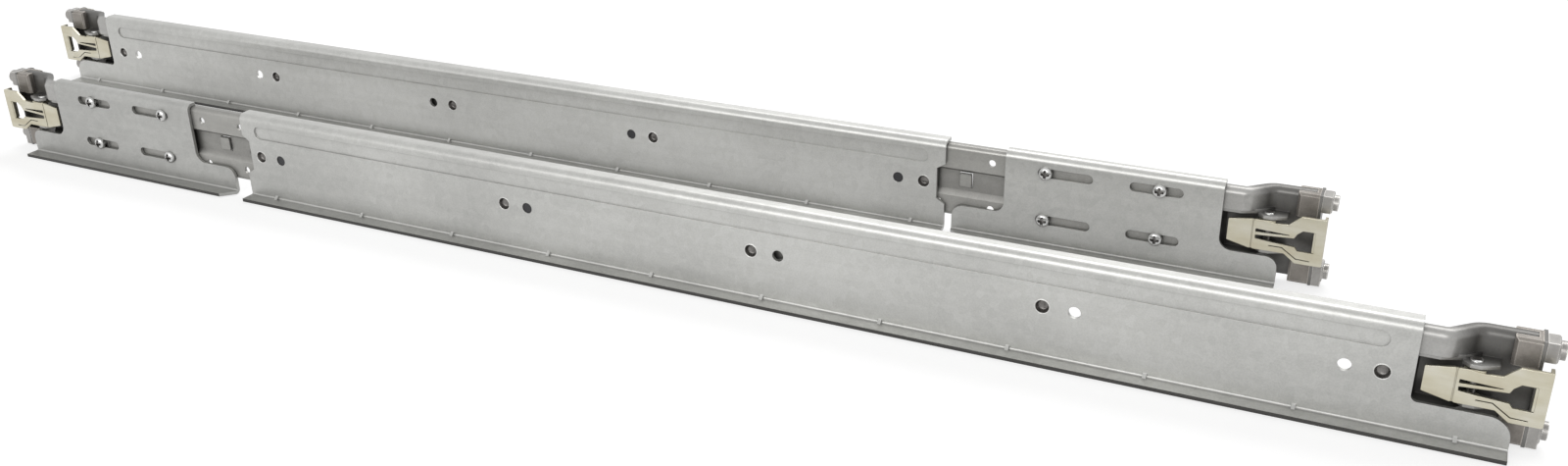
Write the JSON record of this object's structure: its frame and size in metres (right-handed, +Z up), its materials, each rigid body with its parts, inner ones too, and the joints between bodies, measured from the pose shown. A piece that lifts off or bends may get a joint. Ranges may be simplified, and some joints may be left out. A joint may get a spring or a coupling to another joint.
{
  "type": "sliding server rail pair",
  "caption": "Pair of tool-less rack rails: formed-steel front rails with a foot ledge for the server, telescoping rear channels, and latched lug ends.",
  "frame": {"origin": "centre of the pair's footprint, on the plane under the foot flanges", "axes": "+X along the rails, towards the front end of the right rail; +Y across them, away from the server side of each rail; +Z up, as the rails stand on their foot flanges"},
  "size_m": [0.8408, 0.127, 0.044],
  "materials": {
    "zinc_sheet": "satin zinc-coated sheet steel",
    "zinc_channel": "satin zinc-coated sheet steel",
    "zinc_frame": "satin zinc-coated sheet steel",
    "cast_block": "matt cast zinc with a dull grey coat",
    "sintered_lug": "dull sintered steel",
    "latch_spring_steel": "pale champagne passivated spring steel",
    "bright_steel": "bright plated steel",
    "nut_steel": "plated steel",
    "black_acetal": "black moulded plastic"
  },
  "bodies": {
    "front_rails": {"right_front_rail": "zinc_sheet", "right_guide_blocks": "black_acetal", "right_front_frame": "zinc_frame", "right_front_blocks": "cast_block", "right_front_lugs": "sintered_lug", "right_front_latch_pin": "bright_steel", "left_front_rail": "zinc_sheet", "left_guide_blocks": "black_acetal", "left_front_frame": "zinc_frame", "left_front_blocks": "cast_block", "left_front_lugs": "sintered_lug", "left_front_latch_pin": "bright_steel"},
    "right_channel_body": {"right_channel": "zinc_channel", "right_bracket_screws": "bright_steel", "right_bracket_nuts": "nut_steel"},
    "right_rear_end": {"right_rear_bracket": "zinc_sheet", "right_rear_frame": "zinc_frame", "right_rear_blocks": "cast_block", "right_rear_lugs": "sintered_lug", "right_rear_latch_pin": "bright_steel"},
    "right_front_latch_body": {"right_front_latch": "latch_spring_steel"},
    "right_rear_latch_body": {"right_rear_latch": "latch_spring_steel"},
    "left_channel_body": {"left_channel": "zinc_channel", "left_bracket_screws": "bright_steel", "left_bracket_nuts": "nut_steel"},
    "left_rear_end": {"left_rear_bracket": "zinc_sheet", "left_rear_frame": "zinc_frame", "left_rear_blocks": "cast_block", "left_rear_lugs": "sintered_lug", "left_rear_latch_pin": "bright_steel"},
    "left_front_latch_body": {"left_front_latch": "latch_spring_steel"},
    "left_rear_latch_body": {"left_rear_latch": "latch_spring_steel"}
  },
  "joints": [
    {"name": "right_length_slide", "type": "slide", "parent": "front_rails", "child": "right_channel_body", "axis": [-1, 0, 0], "range_m": [-0.0015, 0.112]},
    {"name": "right_bracket_slide", "type": "slide", "parent": "right_channel_body", "child": "right_rear_end", "axis": [1, 0, 0], "range_m": [-0.0015, 0.008]},
    {"name": "right_front_latch_hinge", "type": "hinge", "parent": "front_rails", "child": "right_front_latch_body", "pos_m": [0.394, -0.0505, 0.0229], "axis": [0, 0, -1], "range_deg": [0, 18], "stiffness_Nm_per_rad": 0.06},
    {"name": "right_rear_latch_hinge", "type": "hinge", "parent": "right_rear_end", "child": "right_rear_latch_body", "pos_m": [-0.3166, -0.0505, 0.0229], "axis": [0, 0, 1], "range_deg": [0, 18], "stiffness_Nm_per_rad": 0.06},
    {"name": "left_length_slide", "type": "slide", "parent": "front_rails", "child": "left_channel_body", "axis": [1, 0, 0], "range_m": [-0.001, 0.118]},
    {"name": "left_bracket_slide", "type": "slide", "parent": "left_channel_body", "child": "left_rear_end", "axis": [-1, 0, 0], "range_m": [-0.0015, 0.0023]},
    {"name": "left_front_latch_hinge", "type": "hinge", "parent": "front_rails", "child": "left_front_latch_body", "pos_m": [-0.394, 0.0505, 0.0229], "axis": [0, 0, 1], "range_deg": [0, 18], "stiffness_Nm_per_rad": 0.06},
    {"name": "left_rear_latch_hinge", "type": "hinge", "parent": "left_rear_end", "child": "left_rear_latch_body", "pos_m": [0.3103, 0.0505, 0.0229], "axis": [0, 0, -1], "range_deg": [0, 18], "stiffness_Nm_per_rad": 0.06}
  ]
}
